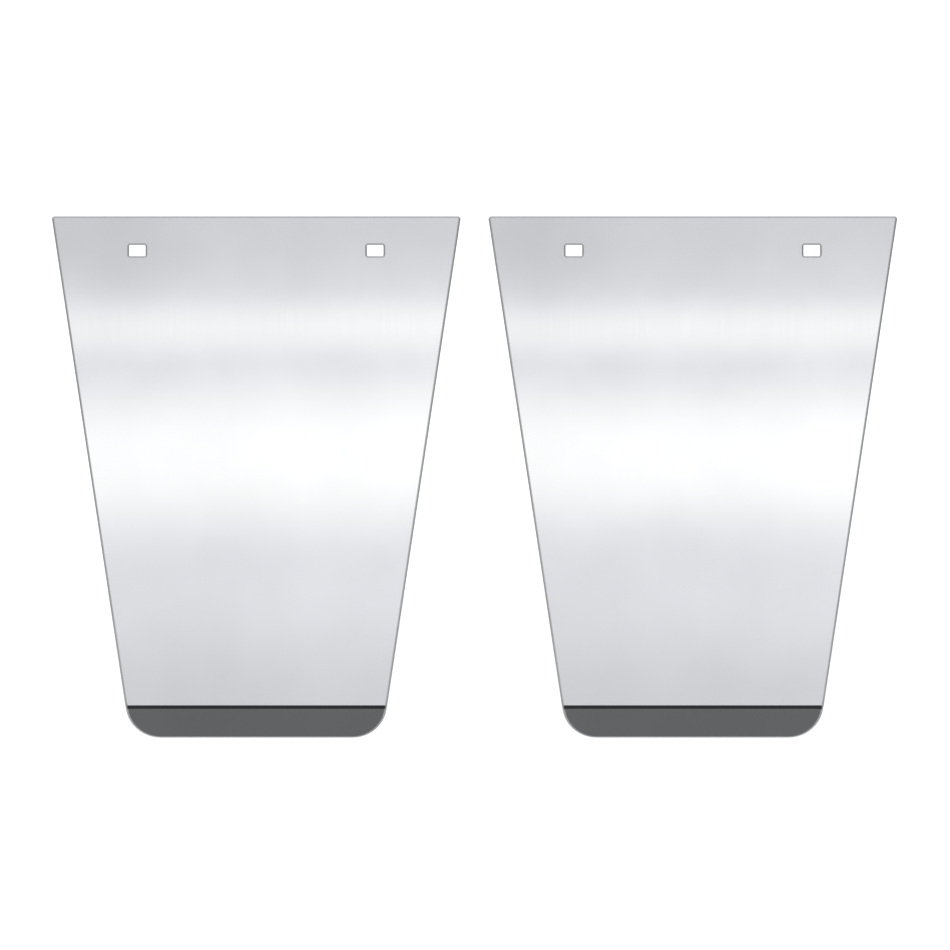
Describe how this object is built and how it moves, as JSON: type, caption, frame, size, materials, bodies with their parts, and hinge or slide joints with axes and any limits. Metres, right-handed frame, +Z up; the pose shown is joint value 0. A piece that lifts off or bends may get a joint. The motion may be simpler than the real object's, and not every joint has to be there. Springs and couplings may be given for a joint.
{
  "type": "mud flap",
  "caption": "Tapered mirror-polished stainless mud flaps that bolt up through rectangular slots along the top, each with a short folded kick and large rounded corners at its foot.",
  "frame": {"origin": "midway between the two flaps, level with the centres of the bolt slots, in the plane of the flat back faces", "axes": "+X across the pair, to the right of a viewer who faces the polished faces; +Y from the polished faces to the hangers; +Z up as hung"},
  "size_m": [0.7338, 0.0092, 0.4531],
  "materials": {
    "polished_stainless": "polished"
  },
  "bodies": {
    "root": {"left_flap": "polished_stainless", "right_flap": "polished_stainless"}
  },
  "joints": []
}
